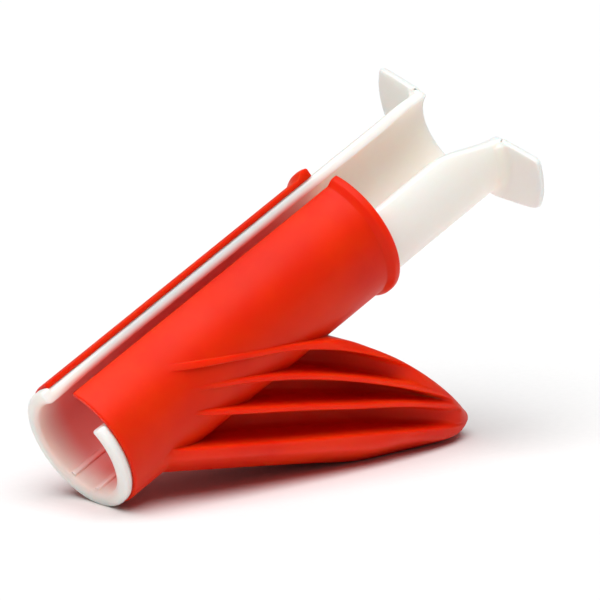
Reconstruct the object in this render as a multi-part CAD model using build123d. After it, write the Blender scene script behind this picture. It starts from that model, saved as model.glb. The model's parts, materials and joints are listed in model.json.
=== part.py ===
"""Hand-held egg slicer: a slotted sleeve on a ribbed grip, and a C-shaped carrier that slides in it.

Millimetres.  The tool stands at rest on a level surface: its muzzle lip and the foot of its grip
touch z = 0, the sleeve leans up to the rear, and +X runs from the muzzle to the rear.  The origin is
the middle of the foot.  The mirror plane of the sleeve and its grip is XZ.

Along the sleeve, `u` is the distance from its muzzle end and `w` the height over its axis.  Shapes
that follow the sleeve are drawn with u along X and w along Z, and `lean` puts them in place.
"""

from build123d import *
from math import cos, radians, sin, sqrt
import os

# Stance
TILT = 26.8             # lean of the sleeve over the level, degrees
FOOT_X = 164.0          # from the muzzle end of the sleeve's axis to the middle of the foot

# Sleeve
SLEEVE_R = 30.0
SLEEVE_WALL = 2.2
SLEEVE_LENGTH = 160.0
SLEEVE_EDGE = 0.5       # chamfer of its ends
SLOT_HALF_ANGLE = 18.0  # of the slot along the top, degrees
COLLAR_R = 32.2
COLLAR_LENGTH = 3.2     # straight part of the rim
COLLAR_RISE = 3.0       # of the cone from the sleeve up to the rim
COLLAR_EDGE = 1.1

# Grip, drawn in the standing frame with x from the muzzle end of the sleeve's axis
GRIP_X = 60.0           # where its plan outline is widest
GRIP_HALF_WIDTH = 31.0
GRIP_LEAD = 70.0        # from the widest place to the front end of the outline
HULL_LEAD = 42.0        # the same for its underside, which runs out on the sleeve
GRIP_REACH = 149.0      # from the widest place to the rear end of the outline, just past the tip
GRIP_FRONT = 24.0       # x where the fins start
GRIP_BLUNTNESS = 2.5    # exponent of the outline; 2 would be an ellipse
GRIP_ROOT_U = 14.0      # u where the underside leaves the sleeve
CROTCH = (123.0, 60.0)  # where the grip's back meets the sleeve, (x, z)
GRIP_BACK = ((152.0, 45.2), (182.5, 28.6), (201.0, 16.5))
TIP = (208.0, 9.5)
SOLID_TIP_X = 199.0     # from here to the tip the grip is solid
FOOT_LENGTH = 46.0
FIN_HALF = 1.4          # half of a fin's thickness
WEB_HALF = 2.2          # half of the thickness of the web between the pockets
WEB_SHARE = 0.9         # share of the half width that the web has grown to at the grip's back
UNDERSIDE = (30.0, 9.5) # where the underside, straight from the foot's heel, meets the sleeve
UNDERSIDE_EDGE = 4.0    # rounding of its long edges
UNDERSIDE_SIDE = 12.0   # the long edges are further out from the mirror plane than this

# Centre lines of the fins from the top one down: points (x, z)
FINS = (
    ((16, 59.9), (67, 61.0), (90, 60.6), (111, 57.6), (131, 52.6), (176, 36.0)),
    ((16, 49.9), (59, 50.6), (85, 48.6), (111, 44.4), (153, 34.0), (213, 13.0)),
    ((16, 42.3), (59, 37.9), (98, 33.4), (153, 25.6), (214, 11.0)),
    ((16, 25.6), (60, 22.2), (98, 18.4), (138, 14.3), (215, 3.2)),
)
# x where the web of each pocket starts to thicken, and where it is thickest
POCKETS = ((130, 174), (148, 192), (160, 198))

# Carrier
CARRIER_R = 27.45
CARRIER_WALL = 4.6
CARRIER_END = 235.0     # u of its rear end
LIP_R = 29.0
LIP_FRONT = 4.9         # how far the lip stands out of the muzzle
LIP_GAP = 0.3           # between the lip and the sleeve when home
LIP_EDGE = 1.4
BORE_MOUTH = 1.8        # chamfer of the bore at the lip
CARRIER_TURN = 20.0     # of its opening, from the sleeve's slot towards -Y, degrees
OPENING = ((-6.0, 33.0), (20.0, 37.5), (60.0, 39.0), (196.0, 39.0), (212.0, 44.0), (226.0, 57.0), (237.0, 63.0))
RIB_ANGLE = 162.0       # of the two ribs in the bore, from the middle of the opening
RIB_WIDTH = 2.0
RIB_HEIGHT = 0.9

# Finger wings at the rear end, in the plane across the sleeve: p sideways, q towards the opening
WING_THICKNESS = 3.0
WING_REACH = 47.8
WING_TOP = 15.0
WING_LOW = -17.0
WING_SIDE = 44.3        # p of the outer corners
WING_ROOT = (18.0, -25.0)
WING_FILLET = 3.5

BORE_R = SLEEVE_R - SLEEVE_WALL
CARRIER_BORE_R = CARRIER_R - CARRIER_WALL
AXIS_HEIGHT = LIP_R * cos(radians(TILT)) + (LIP_FRONT - LIP_EDGE) * sin(radians(TILT))
SPAN = 100.0            # more than the tool measures across
OVERLAP = 0.2           # how far the webs reach into the fins


def lean(shape):
    """Take a shape from the sleeve's own frame to the standing frame."""
    return Location((-FOOT_X, 0, AXIS_HEIGHT)) * Rotation(0, -TILT, 0) * shape


def stand(shape):
    """Shift a shape that is drawn from the muzzle end so that the foot is at the origin."""
    return Location((-FOOT_X, 0, 0)) * shape


def axis_point(u, w=0.0):
    """Point (x, z) of the mirror plane at u and w of the sleeve."""
    a = radians(TILT)
    return (u * cos(a) - w * sin(a), AXIS_HEIGHT + u * sin(a) + w * cos(a))


def cross_plane(u):
    """Plane across the sleeve at u, with its own x along Y and its own y along w."""
    return Plane((u, 0, 0), x_dir=(0, 1, 0), z_dir=(1, 0, 0))


def rod(radius, u0, u1):
    """Plain round bar on the sleeve's axis."""
    return extrude(cross_plane(u0) * Circle(radius), amount=u1 - u0)


def sector(half_angle, u):
    """Triangle across the sleeve at u: everything within half_angle of w."""
    a = radians(half_angle)
    side = (SPAN * sin(a), SPAN * cos(a))
    return cross_plane(u) * make_face(Polyline((0, 0), side, (-side[0], side[1]), (0, 0)))


def side_solid(*edges):
    """Closed outline of the mirror plane, pushed out to both sides."""
    return extrude(Plane.XZ * make_face(edges), amount=SPAN / 2, both=True)


# ---------------------------------------------------------------- sleeve and grip


def sleeve_tube():
    """The tube with its flared collar, before the slot is cut."""
    rim = SLEEVE_LENGTH - COLLAR_LENGTH
    profile = Polyline(
        (0, BORE_R),
        (0, SLEEVE_R - SLEEVE_EDGE),
        (SLEEVE_EDGE, SLEEVE_R),
        (rim - COLLAR_RISE, SLEEVE_R),
        (rim, COLLAR_R),
        (SLEEVE_LENGTH - COLLAR_EDGE, COLLAR_R),
        (SLEEVE_LENGTH, COLLAR_R - COLLAR_EDGE),
        (SLEEVE_LENGTH, BORE_R + SLEEVE_EDGE),
        (SLEEVE_LENGTH - SLEEVE_EDGE, BORE_R),
        (0, BORE_R),
    )
    return revolve(Plane.XZ * make_face(profile), Axis.X)


def half_width(x, lead=GRIP_LEAD):
    """Half of the grip's width at x: it is blunt at the front and comes to a rounded tip."""
    if x < GRIP_X:
        return GRIP_HALF_WIDTH * sqrt(1 - ((x - GRIP_X) / lead) ** 2)
    n = GRIP_BLUNTNESS
    return GRIP_HALF_WIDTH * max(0.0, 1 - ((x - GRIP_X) / GRIP_REACH) ** n) ** (1 / n)


def plan_solid(lead=GRIP_LEAD, steps=12):
    """Everything inside the grip's plan outline."""
    length = GRIP_X + GRIP_REACH - GRIP_FRONT
    xs = [GRIP_FRONT + length * sin(radians(90 * i / steps)) for i in range(steps + 1)]
    side = [(x, half_width(x, lead)) for x in xs]
    back = [(x, -y) for x, y in reversed(side)]
    outline = make_face([Spline(*side, *back[1:]), Line(back[-1], side[0])])
    return extrude(outline, amount=SPAN)


def grip_profile():
    """Side outline of the grip, from the sleeve's axis down to the foot."""
    start = axis_point(GRIP_ROOT_U)
    toe = (FOOT_X + FOOT_LENGTH / 2, 0)
    heel = (FOOT_X - FOOT_LENGTH / 2, 0)
    return side_solid(
        Polyline(start, axis_point(CROTCH[0]), CROTCH),
        Spline(CROTCH, *GRIP_BACK, TIP, tangents=((0.87, -0.5), (0, -1))),
        Spline(TIP, (203, 3.2), toe, tangents=((0, -1), (-1, 0))),
        Polyline(toe, heel, UNDERSIDE, start),
    )


def band(upper, lower):
    """Everything between two lines of the mirror plane."""
    return side_solid(Spline(*upper), Line(upper[-1], lower[-1]), Spline(*lower), Line(lower[0], upper[0]))


def fin(points):
    """One fin: a plate along its centre line."""
    return band([(x, z + FIN_HALF) for x, z in points], [(x, z - FIN_HALF) for x, z in points])


def web(x_thin, x_thick):
    """Plan of the web between two pockets: thin, then thicker towards the grip's back."""
    wide = WEB_SHARE * half_width(x_thick)
    end = SOLID_TIP_X + OVERLAP
    outline = [
        Polyline((x_thin, -WEB_HALF), (GRIP_FRONT, -WEB_HALF), (GRIP_FRONT, WEB_HALF), (x_thin, WEB_HALF)),
        Spline((x_thin, WEB_HALF), (x_thick, wide), tangents=((1, 0), (1, 1))),
        Polyline((x_thick, wide), (end, wide), (end, -wide), (x_thick, -wide)),
        Spline((x_thick, -wide), (x_thin, -WEB_HALF), tangents=((-1, 1), (-1, 0))),
    ]
    return extrude(make_face(outline), amount=SPAN)


def hull():
    """Closed underside of the grip with the lowest fin on top, and the solid tip; its edges are rounded."""
    lowest = FINS[-1]
    below = band([(x, z + FIN_HALF) for x, z in lowest], [(x, z - SPAN / 2) for x, z in lowest])
    tip = Location((SOLID_TIP_X + SPAN / 2, 0, 0)) * Box(SPAN, SPAN, SPAN)
    body = plan_solid(HULL_LEAD) & (below + tip) & grip_profile()
    edges = [e for e in body.edges() if e.center().Z <= UNDERSIDE[1] and abs(e.center().Y) > UNDERSIDE_SIDE]
    return fillet(edges, UNDERSIDE_EDGE)


def back_block():
    """Solid part of the grip over the top fin, where its back runs up to the sleeve."""
    top = FINS[0]
    above = band([(x, z + SPAN / 2) for x, z in top], top)
    return above & Location((top[3][0] + SPAN / 2, 0, SPAN / 2)) * Box(SPAN, SPAN, SPAN)


def grip():
    """The ribbed grip without the sleeve's tube."""
    ribbed = back_block()
    for points in FINS[:-1]:
        ribbed += fin(points)
    for i, run in enumerate(POCKETS):
        floor = [(x, z + FIN_HALF - OVERLAP) for x, z in FINS[i + 1]]
        ribbed += band(FINS[i], floor) & web(*run)
    ribbed &= plan_solid()
    return (ribbed + hull()) & grip_profile()


def sleeve():
    """Sleeve and grip: one moulding."""
    body = lean(sleeve_tube()) + stand(grip())
    body -= lean(rod(BORE_R, -SPAN, SLEEVE_LENGTH + SPAN))
    slot = extrude(sector(SLOT_HALF_ANGLE, -1), amount=SLEEVE_LENGTH + 2)
    return body - lean(slot)


# ---------------------------------------------------------------- carrier


def channel():
    """Round channel with its lip, before the opening is cut."""
    bore = CARRIER_BORE_R
    profile = Polyline(
        (CARRIER_END, bore),
        (CARRIER_END, CARRIER_R),
        (-LIP_GAP, CARRIER_R),
        (-LIP_GAP, LIP_R),
        (LIP_EDGE - LIP_FRONT, LIP_R),
        (-LIP_FRONT, LIP_R - LIP_EDGE),
        (-LIP_FRONT, bore + BORE_MOUTH),
        (BORE_MOUTH - LIP_FRONT, bore),
        (CARRIER_END, bore),
    )
    return revolve(Plane.XZ * make_face(profile), Axis.X)


def rib(angle):
    """Low rib along the bore, at an angle from the middle of the opening."""
    radial = RIB_HEIGHT + CARRIER_WALL / 2
    start = BORE_MOUTH - LIP_FRONT
    length = CARRIER_END - start
    centre = (start + length / 2, 0, CARRIER_BORE_R - RIB_HEIGHT + radial / 2)
    return Rotation(angle, 0, 0) * Location(centre) * Box(length, RIB_WIDTH, radial)


def wing(side):
    """Finger wing on one side, with a fillet towards the channel in front of it."""
    front = CARRIER_END - WING_THICKNESS
    top = (side * WING_SIDE, WING_TOP)
    low = (side * WING_SIDE, WING_LOW)
    root = (side * WING_ROOT[0], WING_ROOT[1])
    inner = (side * WING_ROOT[0], WING_TOP)
    outline = make_face([ThreePointArc(top, (side * WING_REACH, 0), low), Polyline(low, root, inner, top)])
    plate = extrude(cross_plane(front) * outline, amount=WING_THICKNESS)
    ring = revolve(
        Plane.XZ * make_face(
            [
                RadiusArc((front - WING_FILLET, CARRIER_R), (front, CARRIER_R + WING_FILLET), -WING_FILLET),
                Polyline(
                    (front, CARRIER_R + WING_FILLET),
                    (front, CARRIER_R - 1),
                    (front - WING_FILLET, CARRIER_R - 1),
                    (front - WING_FILLET, CARRIER_R),
                ),
            ]
        ),
        Axis.X,
    )
    beside = extrude(cross_plane(front - WING_FILLET) * outline, amount=WING_FILLET)
    return plate + (ring & beside)


def opening():
    """The carrier's opening: a sector that widens towards the rear end."""
    cuts = None
    for (u0, a0), (u1, a1) in zip(OPENING, OPENING[1:]):
        piece = loft([sector(a0, u0), sector(a1, u1)], ruled=True)
        cuts = piece if cuts is None else cuts + piece
    return cuts


def carrier():
    """C-shaped carrier with its lip, the ribs in its bore and two finger wings."""
    body = channel() + rib(RIB_ANGLE) + rib(-RIB_ANGLE) + wing(1) + wing(-1)
    body -= rod(CARRIER_BORE_R - RIB_HEIGHT, -SPAN, CARRIER_END + SPAN)
    return lean(Rotation(CARRIER_TURN, 0, 0) * (body - opening()))


def main():
    os.makedirs("parts", exist_ok=True)
    export_step(sleeve(), "parts/sleeve_grip.step")
    export_step(carrier(), "parts/carrier.step")


main()
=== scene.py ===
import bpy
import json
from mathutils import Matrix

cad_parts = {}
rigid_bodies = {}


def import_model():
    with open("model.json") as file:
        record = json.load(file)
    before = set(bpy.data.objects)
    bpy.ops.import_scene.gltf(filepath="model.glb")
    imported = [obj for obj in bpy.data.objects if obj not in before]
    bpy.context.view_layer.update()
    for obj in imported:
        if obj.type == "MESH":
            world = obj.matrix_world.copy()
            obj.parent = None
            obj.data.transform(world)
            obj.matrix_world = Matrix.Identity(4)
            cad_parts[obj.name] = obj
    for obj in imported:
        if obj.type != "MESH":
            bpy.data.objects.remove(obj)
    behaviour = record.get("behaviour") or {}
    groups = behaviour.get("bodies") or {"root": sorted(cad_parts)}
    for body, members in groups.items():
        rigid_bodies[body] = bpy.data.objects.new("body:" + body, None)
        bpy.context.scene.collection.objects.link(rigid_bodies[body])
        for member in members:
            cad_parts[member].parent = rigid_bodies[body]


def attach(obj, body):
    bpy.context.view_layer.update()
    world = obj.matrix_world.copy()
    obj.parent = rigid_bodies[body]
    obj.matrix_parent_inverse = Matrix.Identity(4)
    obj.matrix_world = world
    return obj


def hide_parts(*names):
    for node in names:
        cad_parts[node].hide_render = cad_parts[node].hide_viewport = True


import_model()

"""Looks of a hand-held egg slicer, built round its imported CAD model.

Two mouldings: a red slotted sleeve on a ribbed grip, and a white C-shaped carrier with two finger
wings that slides in the sleeve.  Lengths are metres and angles radians.

Shapes that follow the sleeve are drawn with u along it from the muzzle and w over its axis, and
`lean` puts them in the row frame.  The grip is drawn with x from the muzzle end of the sleeve's axis,
and `stand` shifts it so that the middle of the foot is the origin.
"""

import json
import math

import bmesh
import bpy
import numpy as np
from bpy.props import FloatProperty, FloatVectorProperty, IntProperty, PointerProperty
from mathutils import Vector

bl_info = {
    "name": "Egg slicer",
    "version": (1, 0, 0),
    "blender": (4, 5, 0),
    "location": "3D View > Sidebar > Egg slicer",
    "description": "Builds the two mouldings of a hand-held egg slicer and a plain studio round them",
    "category": "Add Mesh",
}

MM = 0.001
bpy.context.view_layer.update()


# ---------------------------------------------------------------- settings


def length(name, description, default):
    """A length that the user can change."""
    return FloatProperty(
        name=name, description=description, default=default, min=0.0, unit="LENGTH", precision=5
    )


def angle(name, description, degrees):
    """An angle that the user can change."""
    return FloatProperty(name=name, description=description, default=math.radians(degrees), subtype="ANGLE")


def tint(name, description, default):
    """A colour that the user can change."""
    return FloatVectorProperty(
        name=name, description=description, default=default, size=3, min=0, max=1, subtype="COLOR"
    )


class StanceSettings(bpy.types.PropertyGroup):
    tilt: angle("Lean", "Lean of the sleeve over the level", 26.8)
    foot: length("Foot", "From the axis's muzzle end to the middle of the foot, along the floor", 0.164)
    axis_height: length("Axis height", "Height of the sleeve's axis at the muzzle", 0.027463)


class SleeveSettings(bpy.types.PropertyGroup):
    radius: length("Radius", "Outer radius of the sleeve", 0.030)
    wall: length("Wall", "Thickness of the sleeve's wall", 0.0022)
    length: length("Length", "Length of the sleeve", 0.160)
    slot: angle("Slot half angle", "Half the angle of the slot along the top", 18)
    collar_radius: length("Collar radius", "Radius of the flared collar at the rear end", 0.0322)
    collar_length: length("Collar length", "Length of the collar's rim", 0.0034)
    columns: IntProperty(name="Columns", description="Columns of faces round the sleeve", default=132, min=24)


class GripSettings(bpy.types.PropertyGroup):
    middle: length("Middle", "Where the grip is widest, from the muzzle", 0.060)
    half_width: length("Half width", "Half of the grip's greatest width", 0.031)
    lead: length("Lead", "From the widest place to the front end of the outline", 0.085)
    reach: length("Reach", "From the widest place to the rear end of the outline", 0.1485)
    bluntness: FloatProperty(
        name="Bluntness", description="Exponent of the outline; 2 is an ellipse", default=2.5
    )
    fin: length("Fin", "Thickness of a fin", 0.0028)
    web: length("Web", "Thickness of the web between the pockets", 0.0044)
    edge: length("Edge", "Rounding of the edges along the grip's back", 0.0055)
    bilge: length("Bilge", "Rise of the grip's underside from the keel to its sides", 0.0095)


class CarrierSettings(bpy.types.PropertyGroup):
    radius: length("Radius", "Outer radius of the carrier", 0.02745)
    wall: length("Wall", "Thickness of the carrier's wall", 0.0046)
    end: length("End", "Rear end of the carrier, from the muzzle", 0.235)
    slant: FloatProperty(
        name="Slant", description="Slope of the wall's two long edges, outwards", default=0.34
    )
    lip_radius: length("Lip radius", "Radius of the lip at the muzzle", 0.029)
    lip_front: length("Lip front", "How far the lip stands out of the muzzle", 0.0049)
    gap: length("Gap", "Gap between the lip and the sleeve", 0.0003)
    turn: angle("Turn", "Turn of the opening towards -Y", 22)
    wing: length("Wing", "Thickness of a finger wing", 0.003)
    fillet: length("Fillet", "Fillet in front of a finger wing", 0.0052)
    rib_angle: angle("Rib angle", "Ribs in the bore, from the middle of the opening", 162)
    rib_width: length("Rib width", "Width of a rib in the bore", 0.0024)
    rib_height: length("Rib height", "Height of a rib in the bore", 0.0012)


class FinishSettings(bpy.types.PropertyGroup):
    red: tint("Red", "Colour of the sleeve and grip", (0.80, 0.028, 0.0012))
    deep_red: tint("Deep red", "Colour of the red plastic where it is a little darker", (0.68, 0.014, 0.001))
    white: tint("White", "Colour of the carrier", (1.0, 0.90, 0.825))
    # Painted red glow: a colour painted on the carrier's bore wall in place of the red light that shines
    # through from the sleeve
    painted_red_glow: tint("Blush", "Colour that the white plastic takes up inside the sleeve", (0.95, 0.20, 0.18))
    cream: tint("Cream", "Colour of the white plastic where it is a little warmer", (0.98, 0.86, 0.775))


class StudioSettings(bpy.types.PropertyGroup):
    aim: FloatVectorProperty(
        name="Aim",
        description="Point that the camera looks at",
        default=(-0.0833, -0.0434, 0.0846),
        unit="LENGTH",
    )
    distance: length("Distance", "From the camera to its aim", 2.201)
    azimuth: angle("Azimuth", "How far the camera stands round to the left of straight on", 39.96)
    elevation: angle("Elevation", "Height of the camera over the level", 12.4)
    focal: FloatProperty(name="Focal length", description="Focal length in millimetres", default=317.0)


SETTINGS = {
    "stance": StanceSettings,
    "sleeve": SleeveSettings,
    "grip": GripSettings,
    "carrier": CarrierSettings,
    "finish": FinishSettings,
    "studio": StudioSettings,
}


class EggSlicerSettings(bpy.types.PropertyGroup):
    stance: PointerProperty(type=StanceSettings, name="Stance", description="How the tool stands")
    sleeve: PointerProperty(type=SleeveSettings, name="Sleeve", description="Sizes of the sleeve")
    grip: PointerProperty(type=GripSettings, name="Grip", description="Sizes of the grip")
    carrier: PointerProperty(type=CarrierSettings, name="Carrier", description="Sizes of the carrier")
    finish: PointerProperty(type=FinishSettings, name="Finish", description="Colours of the plastics")
    studio: PointerProperty(type=StudioSettings, name="Studio", description="Camera of the studio")


def settings():
    return bpy.context.scene.egg_slicer


# ---------------------------------------------------------------- drawing


def unit(vector):
    return vector / max(1e-12, float(np.linalg.norm(vector)))


def ease(value, start, end):
    """0 before start, 1 after end, and smooth between them."""
    t = np.clip((np.asarray(value, float) - start) / (end - start), 0, 1)
    return t * t * (3 - 2 * t)


def smooth_line(points, at):
    """Heights at the given places of a smooth line through points."""
    xs, ys = np.array(points, float).T
    slope = np.gradient(ys, xs)
    i = np.clip(np.searchsorted(xs, at) - 1, 0, len(xs) - 2)
    h = xs[i + 1] - xs[i]
    t = (np.asarray(at, float) - xs[i]) / h
    a = (1 + 2 * t) * (1 - t) ** 2 * ys[i] + t * (1 - t) ** 2 * h * slope[i]
    b = t * t * (3 - 2 * t) * ys[i + 1] + t * t * (t - 1) * h * slope[i + 1]
    return a + b


def rounded(corners):
    """Closed outline through corners (a, b, radius, steps of its arc, steps to the next corner)."""
    places = [np.array(corner[:2], float) for corner in corners]
    arcs = []
    for i, (_, _, radius, steps, _) in enumerate(corners):
        here = places[i]
        before = unit(places[i - 1] - here)
        after = unit(places[(i + 1) % len(places)] - here)
        half = math.acos(max(-1.0, min(1.0, float(before @ after)))) / 2
        if radius <= 0 or half < 0.02 or half > 1.56:
            arcs.append(np.repeat([here], steps + 1, axis=0))
            continue
        reach = radius / math.tan(half)
        centre = here + unit(before + after) * radius / math.sin(half)
        first, last = (here + d * reach - centre for d in (before, after))
        start = math.atan2(first[1], first[0])
        swing = (math.atan2(last[1], last[0]) - start + math.pi) % (2 * math.pi) - math.pi
        turns = start + swing * np.arange(steps + 1) / max(1, steps)
        arcs.append(centre + radius * np.column_stack((np.cos(turns), np.sin(turns))))
    points = []
    for i, arc in enumerate(arcs):
        following = arcs[(i + 1) % len(arcs)][0]
        steps = corners[i][4]
        share = (np.arange(1, steps) / max(1, steps))[:, None]
        points += [arc, arc[-1] * (1 - share) + following * share]
    return np.vstack(points)


def inset(outline, distance):
    """The outline moved inwards; it runs anticlockwise or clockwise, and its area says which."""
    edges = np.roll(outline, -1, axis=0) - outline
    sizes = np.linalg.norm(edges, axis=1)
    normals = np.column_stack((-edges[:, 1], edges[:, 0])) / np.maximum(sizes, 1e-9)[:, None]
    normals[sizes < 1e-7] = 0
    joined = normals + np.roll(normals, 1, axis=0)
    sizes = np.linalg.norm(joined, axis=1)
    joined = joined / np.maximum(sizes, 1e-9)[:, None]
    joined[sizes < 1e-6] = 0
    x, y = outline.T
    area = float(np.sum(x * np.roll(y, -1) - np.roll(x, -1) * y))
    return outline + joined * distance * math.copysign(1, area)


def lean(points):
    """Points (u, v, w) of the sleeve's own frame in the row frame."""
    s = settings().stance
    u, v, w = np.asarray(points, float).reshape(-1, 3).T
    x = u * math.cos(s.tilt) - w * math.sin(s.tilt) - s.foot
    z = s.axis_height + u * math.sin(s.tilt) + w * math.cos(s.tilt)
    return np.column_stack((x, v, z))


def stand(points):
    """Points (x, y, z) drawn from the muzzle in the row frame."""
    return np.asarray(points, float).reshape(-1, 3) - (settings().stance.foot, 0, 0)


def link(name, mesh):
    piece = bpy.data.objects.new(name, mesh)
    bpy.context.scene.collection.objects.link(piece)
    return piece


def zipped(loop, seam):
    """Triangles across a long thin loop, laid between its two sides from one seam point to the other."""
    count = len(loop)
    near = list(range(seam[0], seam[1] + 1))
    far = [i % count for i in range(seam[0] + count, seam[1] - 1, -1)]
    i = j = 0
    faces = []
    while i < len(near) - 1 or j < len(far) - 1:
        step_near = i < len(near) - 1
        if step_near and j < len(far) - 1:
            across = np.linalg.norm(loop[near[i + 1]] - loop[far[j]])
            step_near = across <= np.linalg.norm(loop[near[i]] - loop[far[j + 1]])
        if step_near:
            faces.append((near[i], near[i + 1], far[j]))
            i += 1
        else:
            faces.append((near[i], far[j + 1], far[j]))
            j += 1
    return [face for face in faces if len(set(face)) == 3]


def shell(name, loops, place, caps=None):
    """Closed shell through loops of equally many points, ended by caps or else by one face each."""
    loops = np.asarray(loops, float)
    rows, count = loops.shape[:2]
    mesh = bpy.data.meshes.new(name)
    faces = [
        (r * count + i, r * count + (i + 1) % count, (r + 1) * count + (i + 1) % count, (r + 1) * count + i)
        for r in range(rows - 1)
        for i in range(count)
    ]
    for end, first in enumerate((0, (rows - 1) * count)):
        cap = caps[end] if caps else [range(count)]
        faces += [[first + i for i in face] for face in cap]
    mesh.from_pydata(place(loops.reshape(-1, 3)).tolist(), [], faces)
    clean(mesh)
    return link(name, mesh)


def clean(mesh):
    """Merge doubles, cut large faces into triangles and point every face outwards."""
    build = bmesh.new()
    build.from_mesh(mesh)
    bmesh.ops.remove_doubles(build, verts=build.verts, dist=1e-6)
    bmesh.ops.dissolve_degenerate(build, edges=build.edges, dist=1e-7)
    bmesh.ops.triangulate(build, faces=[f for f in build.faces if len(f.verts) > 4])
    bmesh.ops.recalc_face_normals(build, faces=build.faces)
    build.to_mesh(mesh)
    build.free()


def freeze(piece):
    """Turn a piece's modifiers into plain mesh."""
    bpy.context.view_layer.update()
    graph = bpy.context.evaluated_depsgraph_get()
    mesh = bpy.data.meshes.new_from_object(piece.evaluated_get(graph), depsgraph=graph)
    name = piece.name
    bpy.data.objects.remove(piece)
    mesh.name = name
    return link(name, mesh)


def combine(piece, operation, *others):
    """Join others to piece, or cut them out of it, as solids."""
    for other in others:
        step = piece.modifiers.new(operation.title(), "BOOLEAN")
        step.operation = operation
        step.solver = "MANIFOLD"
        step.object = other
    piece = freeze(piece)
    for other in others:
        bpy.data.objects.remove(other)
    if not piece.data.polygons:
        raise RuntimeError(f"{piece.name} came out empty")
    return piece


def shade(piece, degrees):
    """Smooth shading, with edges sharper than this left crisp."""
    build = bmesh.new()
    build.from_mesh(piece.data)
    bmesh.ops.remove_doubles(build, verts=build.verts, dist=5e-7)
    for face in build.faces:
        face.smooth = True
    for edge in build.edges:
        edge.smooth = len(edge.link_faces) == 2 and edge.calc_face_angle(0) < math.radians(degrees)
    build.to_mesh(piece.data)
    build.free()


# ---------------------------------------------------------------- geometry nodes


class Tree:
    """A geometry node tree under construction."""

    def __init__(self, name, sizes):
        self.tree = bpy.data.node_groups.new(name, "GeometryNodeTree")
        face = self.tree.interface
        face.new_socket("Geometry", in_out="OUTPUT", socket_type="NodeSocketGeometry")
        face.new_socket("Geometry", in_out="INPUT", socket_type="NodeSocketGeometry")
        self.ids = {}
        for label, kind in sizes.items():
            socket = face.new_socket(label, in_out="INPUT", socket_type="NodeSocket" + kind)
            self.ids[label] = socket.identifier
        self.inputs = self.tree.nodes.new("NodeGroupInput").outputs
        self.output = self.tree.nodes.new("NodeGroupOutput").inputs[0]

    def node(self, kind, links=None, **values):
        """A node whose sockets take links or values by name."""
        node = self.tree.nodes.new(kind)
        for label, value in values.items():
            setattr(node, label, value)
        for label, value in (links or {}).items():
            socket = node.inputs[label]
            if isinstance(value, bpy.types.NodeSocket):
                self.tree.links.new(value, socket)
            else:
                socket.default_value = value
        return node.outputs[0]

    def finish(self, geometry):
        """Realize instances and set the material, as the last steps."""
        real = self.node("GeometryNodeRealizeInstances", {"Geometry": geometry})
        paint = {"Geometry": real, "Material": self.inputs["Material"]}
        painted = self.node("GeometryNodeSetMaterial", paint)
        self.tree.links.new(painted, self.output)

    def apply(self, piece, values):
        """Run the tree on a piece and return the plain mesh piece."""
        step = piece.modifiers.new(self.tree.name, "NODES")
        step.node_group = self.tree
        for label, value in values.items():
            step[self.ids[label]] = value
        return freeze(piece)


RAIL_RADIUS = 20 * MM   # of the circle that a turned profile is carried round
RIB_SOFTNESS = 0.22     # rounding of a rib's corners, as a share of its width


def turned_profile_tree():
    """A closed profile turned about the axis, with a slot left open along the top."""
    sizes = {"Slot half angle": "Float", "Columns": "Int", "Material": "Material"}
    make = Tree("Turned profile with a slot", sizes)
    slot = make.node("ShaderNodeMath", {0: make.inputs["Slot half angle"], 1: 2.0}, operation="MULTIPLY")
    sweep = make.node("ShaderNodeMath", {0: math.tau, 1: slot}, operation="SUBTRACT")
    rail = make.node(
        "GeometryNodeCurveArc",
        {
            "Resolution": make.inputs["Columns"],
            "Radius": RAIL_RADIUS,
            "Start Angle": make.inputs["Slot half angle"],
            "Sweep Angle": sweep,
        },
    )
    links = {"Curve": rail, "Profile Curve": make.inputs["Geometry"], "Fill Caps": True}
    make.finish(make.node("GeometryNodeCurveToMesh", links))
    return make


def rib_tree():
    """Low ribs along the bore, one each side of the opening's far side."""
    sizes = {label: "Float" for label in ("Rib angle", "Bore", "Start", "End", "Width", "Height")}
    sizes["Material"] = "Material"
    make = Tree("Ribs along the bore", sizes)
    low = make.node("ShaderNodeCombineXYZ", {"X": make.inputs["Start"], "Z": make.inputs["Bore"]})
    high = make.node("ShaderNodeCombineXYZ", {"X": make.inputs["End"], "Z": make.inputs["Bore"]})
    line = make.node("GeometryNodeCurvePrimitiveLine", {"Start": low, "End": high})
    sides = {"Width": make.inputs["Height"], "Height": make.inputs["Width"]}
    outline = make.node("GeometryNodeCurvePrimitiveQuadrilateral", sides)
    corner = make.node("ShaderNodeMath", {0: make.inputs["Width"], 1: RIB_SOFTNESS}, operation="MULTIPLY")
    rounding = {"Curve": outline, "Count": 4, "Radius": corner, "Limit Radius": True}
    soft = make.node("GeometryNodeFilletCurve", rounding, mode="POLY")
    bar = make.node("GeometryNodeCurveToMesh", {"Curve": line, "Profile Curve": soft, "Fill Caps": True})
    both = []
    for side in (-1.0, 1.0):
        turn = make.node("ShaderNodeMath", {0: make.inputs["Rib angle"], 1: side}, operation="MULTIPLY")
        spin = make.node("ShaderNodeCombineXYZ", {"X": turn})
        both.append(make.node("GeometryNodeTransform", {"Geometry": bar, "Rotation": spin}))
    joined = make.tree.nodes.new("GeometryNodeJoinGeometry")
    for half in both:
        make.tree.links.new(half, joined.inputs[0])
    make.finish(joined.outputs[0])
    return make


# ---------------------------------------------------------------- finishes


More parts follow.
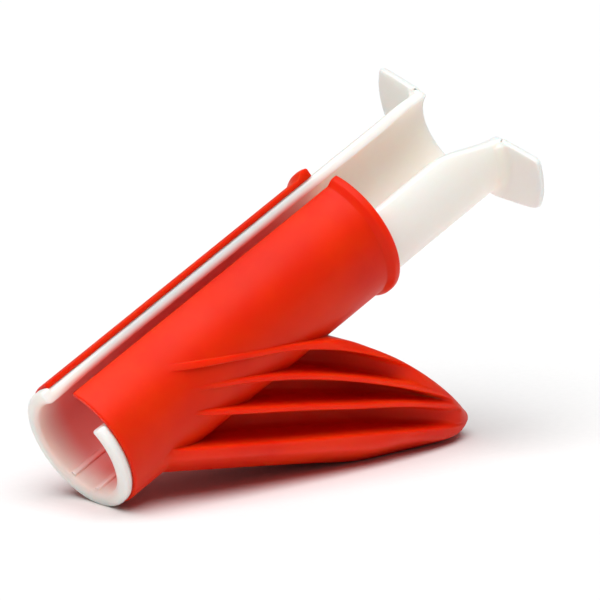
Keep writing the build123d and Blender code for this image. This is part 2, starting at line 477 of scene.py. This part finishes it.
def plastic(name, main, shade_colour, roughness, **sockets):
    """Moulded plastic: slow drift of colour, fine mottling in the gloss, faint scuffs and soft edges."""
    material = bpy.data.materials.new(name)
    material.use_nodes = True
    nodes, links = material.node_tree.nodes, material.node_tree.links
    surface = nodes["Principled BSDF"]
    where = nodes.new("ShaderNodeTexCoord").outputs["Object"]

    def noise(scale, detail, roughness=0.5, distortion=0.0):
        node = nodes.new("ShaderNodeTexNoise")
        node.inputs["Scale"].default_value = scale
        node.inputs["Detail"].default_value = detail
        node.inputs["Roughness"].default_value = roughness
        node.inputs["Distortion"].default_value = distortion
        links.new(where, node.inputs["Vector"])
        return node.outputs["Fac"]

    def remap(value, low, high, to_low, to_high):
        node = nodes.new("ShaderNodeMapRange")
        for label, number in (("From Min", low), ("From Max", high), ("To Min", to_low), ("To Max", to_high)):
            node.inputs[label].default_value = number
        links.new(value, node.inputs["Value"])
        return node.outputs["Result"]

    def mixed(factor, first, second):
        node = nodes.new("ShaderNodeMix")
        node.data_type = "RGBA"
        links.new(factor, node.inputs["Factor"])
        for socket, value in ((node.inputs[6], first), (node.inputs[7], second)):
            if isinstance(value, bpy.types.NodeSocket):
                links.new(value, socket)
            else:
                socket.default_value = (*value, 1)
        return node.outputs[2]

    drift = remap(noise(22, 3), 0.38, 0.66, 0.0, 1.0)
    body = mixed(drift, main, shade_colour)
    mottle = remap(noise(420, 4, 0.6), 0.3, 0.7, 0.0, 0.35)
    body = mixed(mottle, body, tuple(0.5 * (a + b) for a, b in zip(main, shade_colour)))
    wear = nodes.new("ShaderNodeNewGeometry").outputs["Pointiness"]
    worn = remap(wear, 0.53, 0.62, 0.0, 0.28)
    body = mixed(worn, body, tuple(min(1.0, 1.18 * c + 0.02) for c in main))
    links.new(body, surface.inputs["Base Color"])

    gloss = remap(noise(60, 5, 0.6, 0.4), 0.3, 0.7, roughness - 0.05, roughness + 0.06)
    scuffs = remap(noise(900, 2, 0.5), 0.62, 0.8, 0.0, 0.10)
    total = nodes.new("ShaderNodeMath")
    links.new(gloss, total.inputs[0])
    links.new(scuffs, total.inputs[1])
    links.new(total.outputs[0], surface.inputs["Roughness"])

    soft = nodes.new("ShaderNodeBevel")
    soft.samples = 6
    soft.inputs["Radius"].default_value = 0.0007
    skin = nodes.new("ShaderNodeBump")
    skin.inputs["Strength"].default_value = 0.12
    skin.inputs["Distance"].default_value = 0.00006
    links.new(noise(1500, 3, 0.6), skin.inputs["Height"])
    links.new(soft.outputs["Normal"], skin.inputs["Normal"])
    waves = nodes.new("ShaderNodeBump")
    waves.inputs["Strength"].default_value = 0.25
    waves.inputs["Distance"].default_value = 0.00025
    links.new(noise(75, 2, 0.4), waves.inputs["Height"])
    links.new(skin.outputs["Normal"], waves.inputs["Normal"])
    links.new(waves.outputs["Normal"], surface.inputs["Normal"])
    for label, value in sockets.items():
        surface.inputs[label.replace("_", " ")].default_value = value
    return material


def red_plastic():
    finish = settings().finish
    return bpy.data.materials.get("red_moulded_plastic") or plastic(
        "red_moulded_plastic",
        finish.red,
        finish.deep_red,
        0.42,
        Specular_IOR_Level=0.12,
        Subsurface_Weight=0.9,
        Subsurface_Radius=(1.0, 0.05, 0.02),
        Subsurface_Scale=0.006,
    )


def paint_red_glow(material):
    """Painted red glow on the milky wall of the bore, standing in for the red light that shines through from
    the sleeve around it; it fades out behind the collar.
    """
    stance, carrier, finish = settings().stance, settings().carrier, settings().finish
    nodes, links = material.node_tree.nodes, material.node_tree.links
    along = nodes.new("ShaderNodeMapping")
    along.inputs["Rotation"].default_value = (0, stance.tilt, 0)
    c, s = math.cos(stance.tilt), math.sin(stance.tilt)
    shift_u = stance.foot * c - stance.axis_height * s
    shift_w = -stance.foot * s - stance.axis_height * c
    along.inputs["Location"].default_value = (shift_u, 0, shift_w)
    links.new(nodes.new("ShaderNodeTexCoord").outputs["Object"], along.inputs["Vector"])
    split = nodes.new("ShaderNodeSeparateXYZ")
    links.new(along.outputs["Vector"], split.inputs[0])
    across = nodes.new("ShaderNodeCombineXYZ")
    links.new(split.outputs["Y"], across.inputs["Y"])
    links.new(split.outputs["Z"], across.inputs["Z"])
    radius = nodes.new("ShaderNodeVectorMath")
    radius.operation = "LENGTH"
    links.new(across.outputs[0], radius.inputs[0])

    def fade(value, start, end, first, last):
        node = nodes.new("ShaderNodeMapRange")
        node.interpolation_type = "SMOOTHSTEP"
        for label, number in (("From Min", start), ("From Max", end), ("To Min", first), ("To Max", last)):
            node.inputs[label].default_value = number
        links.new(value, node.inputs["Value"])
        return node.outputs["Result"]

    def times(first, second):
        node = nodes.new("ShaderNodeMath")
        node.operation = "MULTIPLY"
        links.new(first, node.inputs[0])
        links.new(second, node.inputs[1])
        return node.outputs[0]

    bore = carrier.radius - carrier.wall
    deep = fade(radius.outputs["Value"], bore + 0.0004, carrier.radius - 0.0012, 1.0, 0.0)
    sleeve_end = settings().sleeve.length
    rear = fade(split.outputs["X"], sleeve_end - 0.020, sleeve_end + 0.022, 1.0, 0.0)
    front = fade(split.outputs["X"], -0.004, 0.012, 0.25, 1.0)
    # Painted red glow: red light from the sleeve painted into the base colour near the bore, along the
    # sleeve's length; it is painted in the carrier's own coordinates, so it moves with the carrier
    painted_red_glow = times(times(deep, rear), front)
    surface = nodes["Principled BSDF"]
    plain = surface.inputs["Base Color"].links[0].from_socket
    node = nodes.new("ShaderNodeMix")
    node.data_type = "RGBA"
    links.new(painted_red_glow, node.inputs["Factor"])
    links.new(plain, node.inputs[6])
    node.inputs[7].default_value = (*finish.painted_red_glow, 1)
    links.new(node.outputs[2], surface.inputs["Base Color"])
    return material


def white_plastic():
    finish = settings().finish
    # The white plastic's base colour carries a painted red glow inside the sleeve
    return bpy.data.materials.get("milky_white_plastic") or paint_red_glow(
        plastic(
            "milky_white_plastic",
            finish.white,
            finish.cream,
            0.36,
            Specular_IOR_Level=0.4,
            Subsurface_Weight=0.9,
            Subsurface_Radius=(1.0, 0.6, 0.5),
            Subsurface_Scale=0.014,
        )
    )


# ---------------------------------------------------------------- sleeve and grip


# Centre lines of the fins from the top one down, as (x, z) in millimetres from the muzzle
FINS = (
    (
        (10, 59.6), (40, 60.8), (67, 61.0), (90, 60.6), (111, 57.6),
        (131, 52.6), (152, 45.5), (176, 36.0), (212, 18.0),
    ),
    ((10, 49.6), (34, 50.5), (59, 50.6), (85, 48.6), (111, 44.4), (153, 34.0), (185, 23.6), (213, 14.0)),
    ((10, 43.0), (34, 40.6), (59, 37.9), (98, 33.4), (125, 29.6), (153, 25.6), (185, 18.8), (214, 11.6)),
    ((10, 26.2), (34, 24.3), (60, 22.2), (98, 18.4), (138, 14.3), (175, 9.6), (215, 4.4)),
)
# The grip's back from inside the sleeve to the tip, and its underside from the sleeve to the tip
BACK = (
    (10, 61.0), (40, 62.2), (67, 62.4), (90, 62.2), (104, 61.2), (114, 60.2),
    (124, 57.6), (136, 52.8), (152, 45.6), (178, 30.6), (194, 19.6), (204, 12.2), (209, 8.4),
)
UNDERSIDE = (
    (10, 13.6), (30, 12.6), (60, 9.6), (90, 6.2), (116, 3.0), (132, 0.8),
    (141, 0.0), (187, 0.0), (197, 1.4), (204, 4.2), (209, 7.9),
)
# x where each pocket's floor starts to rise and where it has reached the surface, in millimetres
POCKETS = ((118, 172), (140, 193), (150, 199))
POCKET_START = 18.0
GRIP_START = 14.0       # x where the grip begins inside the sleeve, in millimetres
GRIP_TOE = 190.0        # x where its sections crowd together round the toe, in millimetres
TOE_LENGTH = 18.2       # of that toe, in millimetres
KEEL_SHARE = 0.46       # of the grip's width that its flat keel takes up
FIN_EDGE = 1.1 * MM     # rounding of the top fin's edge


def half_width(x):
    """Half of the grip's width at x."""
    grip = settings().grip
    front = np.sqrt(np.clip(1 - ((x - grip.middle) / grip.lead) ** 2, 0.05, 1))
    behind = np.clip(x - grip.middle, 0, None) / grip.reach
    rear = np.clip(1 - behind ** grip.bluntness, 0.0, 1) ** (1 / grip.bluntness)
    return grip.half_width * np.where(x < grip.middle, front, rear)


def hug_sleeve(x, y, z):
    """y, drawn in beside the sleeve so that the fins rise out of its surface little by little."""
    stance, sleeve = settings().stance, settings().sleeve
    w = (z - stance.axis_height) * math.cos(stance.tilt) - x * math.sin(stance.tilt)
    proud = -0.0006 + 0.0022 * float(ease(x, 0.018, 0.040))
    across = math.sqrt(max(0.0, (sleeve.radius + proud) ** 2 - max(0.0, w) ** 2))
    free = float(ease(x, 0.052, 0.074))
    return math.copysign(min(abs(y), across + (abs(y) - across) * free), y) if abs(y) > across else y


def grip_envelope():
    """The grip as if it had no pockets: rounded sections along its length."""
    grip = settings().grip
    toe = GRIP_TOE + TOE_LENGTH * np.sin(np.linspace(0, math.pi / 2, 26))
    xs = np.unique(np.concatenate((np.linspace(GRIP_START, GRIP_TOE, 60), toe)))
    loops = []
    for x in xs:
        wide = float(half_width(np.array(x * MM))) - 0.0016 * (1 - float(ease(x, 18, 32)))
        top = float(smooth_line(BACK, x)) * MM
        low = float(smooth_line(UNDERSIDE, x)) * MM
        soft = FIN_EDGE + (grip.edge - FIN_EDGE) * float(ease(x, 106, 126))
        soft = min(soft, wide * 0.45, (top - low) * 0.45)
        low = max(0.0, low)
        keel = KEEL_SHARE * wide
        bilge = grip.bilge * (1 - 0.6 * float(ease(x, 150, 196)))
        chine = low + min(bilge, (top - low) * 0.40)
        under = min(0.6 * grip.bilge, 0.3 * wide, (top - low) * 0.2)
        section = rounded(
            [
                (-keel, low, under, 5, 8),
                (keel, low, under, 5, 6),
                (wide, chine, under, 6, 36),
                (wide, top, soft, 8, 10),
                (-wide, top, soft, 8, 36),
                (-wide, chine, under, 6, 6),
            ]
        )
        loops.append([(x * MM, hug_sleeve(x * MM, y, z), z) for y, z in section])
    return shell("grip_envelope", loops, stand)


def pocket(index, side):
    """One pocket between two fins: it widens a little at the surface and its floor runs out at the back."""
    grip = settings().grip
    start, end = POCKETS[index]
    half_fin = grip.fin / 2
    xs = np.concatenate((np.linspace(POCKET_START, start, 50), np.linspace(start, end + 6, 44)[1:]))
    loops = []
    for x in xs:
        wide = float(half_width(np.array(x * MM)))
        rise = float(ease(x, start - 16, end + 4)) ** 1.25
        floor = grip.web / 2 + (wide + 0.0008 - grip.web / 2) * rise
        top = float(smooth_line(FINS[index], x)) * MM - half_fin
        low = float(smooth_line(FINS[index + 1], x)) * MM + half_fin
        room = max(0.0004, top - low)
        lip = min(0.0009, 0.3 * room)
        inner = min(0.0022, 0.42 * room, 0.9 * max(0.0002, wide - floor))
        narrow = min(room * 0.3, 0.0010) * rise
        outer = wide + 0.004
        section = rounded(
            [
                (floor, low + narrow, inner, 5, 5),
                (wide - lip, low, lip, 3, 1),
                (wide + 0.2 * lip, low - 0.85 * lip, 0, 0, 1),
                (outer, low - 0.9 * lip, 0, 0, 1),
                (outer, top + 0.9 * lip, 0, 0, 1),
                (wide + 0.2 * lip, top + 0.85 * lip, 0, 0, 1),
                (wide - lip, top, lip, 3, 5),
                (floor, top - narrow, inner, 5, 5),
            ]
        )
        loops.append([(x * MM, side * y, z) for y, z in section])
    return shell(f"pocket_{index + 1}", loops, stand)


def sleeve_profile():
    """Closed section of the sleeve's wall with its flared collar, as points (u, r)."""
    sleeve = settings().sleeve
    outer, inner, end = sleeve.radius, sleeve.radius - sleeve.wall, sleeve.length
    rim = end - sleeve.collar_length
    return rounded(
        [
            (0, inner, 0.0004, 3, 1),
            (0, outer, 0.0007, 4, 40),
            (rim - 0.0030, outer, 0.0012, 4, 1),
            (rim, sleeve.collar_radius, 0.0022, 5, 1),
            (end, sleeve.collar_radius, 0.0012, 5, 1),
            (end, inner, 0.0006, 3, 40),
        ]
    )


def around_axis(piece):
    """Take a piece turned about Z, with w along X, to the sleeve's place in the row frame."""
    for vertex in piece.data.vertices:
        a, b, c = vertex.co
        vertex.co = lean([(-c, b, a)])[0]
    clean(piece.data)
    return piece


def sleeve_tube():
    """The slotted tube, made with geometry nodes from its profile."""
    sleeve = settings().sleeve
    curve = bpy.data.curves.new("sleeve_profile", "CURVE")
    curve.dimensions = "3D"
    spline = curve.splines.new("POLY")
    profile = sleeve_profile()
    spline.points.add(len(profile) - 1)
    for point, (u, r) in zip(spline.points, profile):
        point.co = (r - RAIL_RADIUS, u, 0, 1)
    spline.use_cyclic_u = True
    piece = turned_profile_tree().apply(
        link("sleeve_tube", curve),
        {"Slot half angle": sleeve.slot, "Columns": sleeve.columns, "Material": red_plastic()},
    )
    piece = around_axis(piece)
    edge = piece.modifiers.new("Slot edges", "BEVEL")
    edge.width = 0.0005
    edge.segments = 3
    edge.limit_method = "ANGLE"
    edge.angle_limit = math.radians(60)
    edge.harden_normals = False
    return freeze(piece)


def rod(name, radius, start, end, columns=128):
    """Round bar on the sleeve's axis."""
    turns = np.linspace(0, math.tau, columns, endpoint=False)
    ring = np.column_stack((radius * np.sin(turns), radius * np.cos(turns)))
    return shell(name, [[(u, y, w) for y, w in ring] for u in (start, end)], lean)


class EGG_OT_sleeve_and_grip(bpy.types.Operator):
    """Build the red moulding: slotted sleeve, flared collar and ribbed grip"""

    bl_idname = "egg_slicer.sleeve_and_grip"
    bl_label = "Sleeve and grip"

    def execute(self, context):
        sleeve = settings().sleeve
        grip = grip_envelope()
        cutters = [pocket(index, side) for index in range(len(POCKETS)) for side in (-1, 1)]
        bore = rod("bore", sleeve.radius - sleeve.wall / 2, -0.06, sleeve.length + 0.08)
        grip = combine(grip, "DIFFERENCE", *cutters, bore)
        tube = combine(sleeve_tube(), "UNION", grip)
        tube.name = "red_sleeve_and_grip"
        tube.data.materials.clear()
        tube.data.materials.append(red_plastic())
        shade(tube, 38)
        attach(tube, "sleeve")
        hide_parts("sleeve_grip")
        return {"FINISHED"}


# ---------------------------------------------------------------- carrier


# Outline of the finger wings, seen along the axis: round reach, flat top, slanted lower side
WING_REACH = 48.0 * MM
WING_TOP = 14.2 * MM
WING_LOW = 29.1 * MM    # from the axis to the slanted side
WING_SLANT = (0.291, -0.957)
WING_SOFTNESS = 30.0    # exponent that rounds the outline's corners
BORE_STEPS = 62         # of the section along the bore
OUTER_STEPS = 56        # of the section along the outside
EDGE_STEPS = 5          # round the carrier's long edges
WING_SEAM = 14          # point of the section in the middle of a wing's rim
SIDE = math.radians(62)  # angle from the opening where the section at a long edge is taken


def opening_half_angle(u):
    """Half angle of the carrier's opening: narrower at the lip, wide between the finger wings."""
    narrow = 6.0 * (1 - ease(u, -0.006, 0.050))
    wide = 23.5 * ease(u, 0.198, 0.238)
    return np.radians(37.0 - narrow + wide)


def wing_radius(turn):
    """Distance from the axis to the outline of the finger wings, at an angle from the opening."""
    carrier = settings().carrier
    side, up = abs(math.sin(turn)), math.cos(turn)
    reach = [WING_REACH]
    if up > 0:
        reach.append(WING_TOP / max(up, 0.05))
    slant = WING_SLANT[0] * side + WING_SLANT[1] * up
    if slant > 0:
        reach.append(WING_LOW / slant)
    radius = sum(r ** -WING_SOFTNESS for r in reach) ** (-1 / WING_SOFTNESS)
    fold = abs((turn + math.pi) % math.tau - math.pi)
    fade = 1 - float(ease(math.degrees(fold), 138, 158))
    return carrier.radius + max(0.0, radius - carrier.radius) * fade


def carrier_section(turn):
    """Closed section of the carrier's wall at an angle from the opening, as points (u, r)."""
    carrier = settings().carrier
    outer, bore, end = carrier.radius, carrier.radius - carrier.wall, carrier.end
    tall = max(0.00004, wing_radius(turn) - outer)
    front = end - carrier.wing
    edge = min(0.0013, tall / 2)
    fillet = min(carrier.fillet, tall - edge)
    lip = -carrier.lip_front
    return rounded(
        [
            (end, bore, 0.0013, 5, 4),
            (end, outer + tall, min(0.0013, 0.0006 + tall / 2), 5, 1),
            (front, outer + tall, edge, 5, 3),
            (front, outer, fillet, 9, OUTER_STEPS),
            (-carrier.gap, outer, 0.0002, 2, 1),
            (-carrier.gap, carrier.lip_radius, 0.0013, 3, 1),
            (lip, carrier.lip_radius, 0.0015, 6, 1),
            (lip, bore, 0.0020, 6, BORE_STEPS),
        ]
    )


class EGG_OT_carrier(bpy.types.Operator):
    """Build the white moulding: C-shaped carrier with its lip, bore ribs and two finger wings"""

    bl_idname = "egg_slicer.carrier"
    bl_label = "Carrier"

    def execute(self, context):
        carrier = settings().carrier
        edge, columns = 1.2 * MM, 216
        bore = carrier.radius - carrier.wall
        bend = np.radians(90.0 * np.arange(EDGE_STEPS) / EDGE_STEPS)
        ends = [(edge * (1 - math.cos(b)), edge * (1 - math.sin(b))) for b in bend]
        plan = [(0.0, offset, shrink) for offset, shrink in ends]
        plan += [(t, edge, 0.0) for t in np.linspace(0, 1, columns)]
        plan += [(1.0, offset, shrink) for offset, shrink in reversed(ends)]
        loops = []
        for share, offset, shrink in plan:
            middle = SIDE + share * (math.tau - 2 * SIDE)
            section = inset(carrier_section(middle), shrink)
            u, r = section.T
            sloped = offset + carrier.slant * np.minimum(r - bore, carrier.wall)
            start = opening_half_angle(u) + sloped / r
            turn = start + share * (math.tau - 2 * start) - carrier.turn
            loops.append(np.column_stack((u, r * np.sin(turn), r * np.cos(turn))))
        seam = (WING_SEAM, len(loops[0]) - BORE_STEPS - 3)
        caps = [zipped(loops[0], seam), zipped(loops[-1], seam)]
        body = shell("white_carrier", loops, lean, caps)
        seed = link("bore_ribs", bpy.data.meshes.new("bore_ribs"))
        ribs = rib_tree().apply(
            seed,
            {
                "Rib angle": carrier.rib_angle,
                "Bore": bore,
                "Start": -carrier.lip_front + 0.0022,
                "End": carrier.end - 0.0012,
                "Width": carrier.rib_width,
                "Height": 2 * carrier.rib_height,
                "Material": white_plastic(),
            },
        )
        turned = []
        for vertex in ribs.data.vertices:
            u, y, w = vertex.co
            c, s = math.cos(carrier.turn), math.sin(carrier.turn)
            turned.append((u, y * c - w * s, w * c + y * s))
        for vertex, place in zip(ribs.data.vertices, lean(turned)):
            vertex.co = place
        clean(ribs.data)
        body = combine(body, "UNION", ribs)
        body.name = "white_carrier"
        body.data.materials.clear()
        body.data.materials.append(white_plastic())
        shade(body, 40)
        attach(body, "carrier")
        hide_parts("carrier")
        return {"FINISHED"}


# ---------------------------------------------------------------- studio


FLOOR_REACH = 6.0       # half of the floor's side, in metres
SKY = 0.12              # strength of the light from all round


def lamp(name, towards, spread, power):
    """Far soft lamp in a direction; it lights the whole floor evenly."""
    data = bpy.data.lights.new(name, "SUN")
    data.angle = math.radians(spread)
    data.energy = power
    piece = bpy.data.objects.new(name, data)
    bpy.context.scene.collection.objects.link(piece)
    piece.location = towards
    piece.rotation_euler = Vector(towards).to_track_quat("Z", "Y").to_euler()
    return piece


def floor_material():
    """Matt white studio paper with a trace of grain."""
    material = bpy.data.materials.new("studio_paper")
    material.use_nodes = True
    nodes, links = material.node_tree.nodes, material.node_tree.links
    surface = nodes["Principled BSDF"]
    surface.inputs["Roughness"].default_value = 0.9
    surface.inputs["Specular IOR Level"].default_value = 0.1
    where = nodes.new("ShaderNodeTexCoord")
    grain = nodes.new("ShaderNodeTexNoise")
    grain.inputs["Scale"].default_value = 300
    ramp = nodes.new("ShaderNodeValToRGB")
    ramp.color_ramp.elements[0].color = (0.83, 0.83, 0.83, 1)
    ramp.color_ramp.elements[1].color = (0.87, 0.87, 0.87, 1)
    links.new(where.outputs["Object"], grain.inputs["Vector"])
    links.new(grain.outputs["Fac"], ramp.inputs["Fac"])
    links.new(ramp.outputs["Color"], surface.inputs["Base Color"])
    return material


class EGG_OT_studio(bpy.types.Operator):
    """Build the studio: pale floor, soft lamps and the camera"""

    bl_idname = "egg_slicer.studio"
    bl_label = "Studio"

    def execute(self, context):
        studio = settings().studio
        mesh = bpy.data.meshes.new("floor")
        build = bmesh.new()
        bmesh.ops.create_grid(build, x_segments=8, y_segments=8, size=FLOOR_REACH)
        build.to_mesh(mesh)
        build.free()
        floor = link("floor", mesh)
        floor.data.materials.append(floor_material())

        world = bpy.data.worlds.new("studio")
        world.use_nodes = True
        sky = world.node_tree.nodes["Background"]
        sky.inputs["Color"].default_value = (1.0, 1.0, 1.0, 1)
        sky.inputs["Strength"].default_value = SKY
        context.scene.world = world
        context.scene.view_settings.view_transform = "Standard"

        lamp("overhead", towards=(-0.30, -0.24, 1.0), spread=62, power=3.7)

        data = bpy.data.cameras.new("camera")
        data.sensor_fit = "HORIZONTAL"
        data.sensor_width = 36
        data.lens = studio.focal
        data.clip_end = 20
        data.dof.use_dof = False
        camera = bpy.data.objects.new("camera", data)
        context.scene.collection.objects.link(camera)
        level = math.cos(studio.elevation)
        across, along = math.sin(studio.azimuth), math.cos(studio.azimuth)
        back = Vector((-across * level, -along * level, math.sin(studio.elevation)))
        camera.location = Vector(studio.aim) + back * studio.distance
        camera.rotation_euler = back.to_track_quat("Z", "Y").to_euler()
        context.scene.camera = camera
        return {"FINISHED"}


# ---------------------------------------------------------------- panel and start


class EGG_PT_sidebar(bpy.types.Panel):
    """Buttons and sizes of the egg slicer"""

    bl_idname = "EGG_PT_sidebar"
    bl_label = "Egg slicer"
    bl_space_type = "VIEW_3D"
    bl_region_type = "UI"
    bl_category = "Egg slicer"

    def draw(self, context):
        for operator in OPERATORS:
            self.layout.operator(operator.bl_idname)
        for name, group in SETTINGS.items():
            box = self.layout.box()
            box.label(text=name.title())
            for label in group.__annotations__:
                box.prop(getattr(context.scene.egg_slicer, name), label)


OPERATORS = (EGG_OT_studio, EGG_OT_sleeve_and_grip, EGG_OT_carrier)
CLASSES = (*SETTINGS.values(), EggSlicerSettings, *OPERATORS, EGG_PT_sidebar)


def register():
    for item in CLASSES:
        bpy.utils.register_class(item)
    bpy.types.Scene.egg_slicer = PointerProperty(type=EggSlicerSettings)


def unregister():
    del bpy.types.Scene.egg_slicer
    for item in reversed(CLASSES):
        bpy.utils.unregister_class(item)


def main():
    register()
    for operator in OPERATORS:
        group, name = operator.bl_idname.split(".")
        getattr(getattr(bpy.ops, group), name)()
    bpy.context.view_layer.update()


if __name__ == "__main__":
    main()
